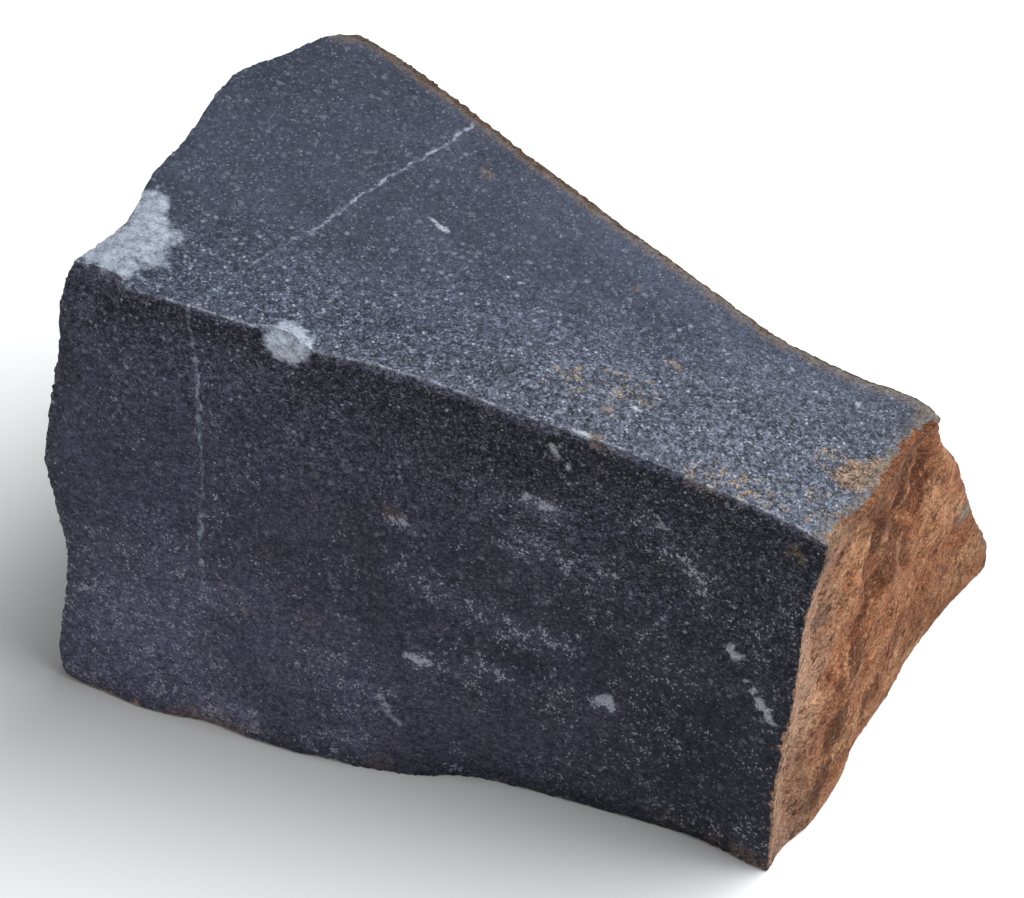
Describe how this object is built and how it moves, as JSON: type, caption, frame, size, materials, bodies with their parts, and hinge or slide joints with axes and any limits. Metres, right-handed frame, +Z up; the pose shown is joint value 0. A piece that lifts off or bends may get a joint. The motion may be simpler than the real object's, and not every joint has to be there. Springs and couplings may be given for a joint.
{
  "type": "basalt hand specimen",
  "caption": "Angular block of dark basalt with sharp fresh breaks, a sloping flat top and a rusty brown weathered end face.",
  "frame": {"origin": "on the resting surface, under the middle of the rock's bounding box", "axes": "+X along the length, towards the brown weathered end; +Y to the back, away from the dark front face; +Z up, out of the flat top face"},
  "size_m": [0.086, 0.0562, 0.0568],
  "materials": {
    "basalt": "matt, fine-grained fresh break, rusty brown on the weathered end and back"
  },
  "bodies": {
    "root": {"rock": "basalt"}
  },
  "joints": []
}
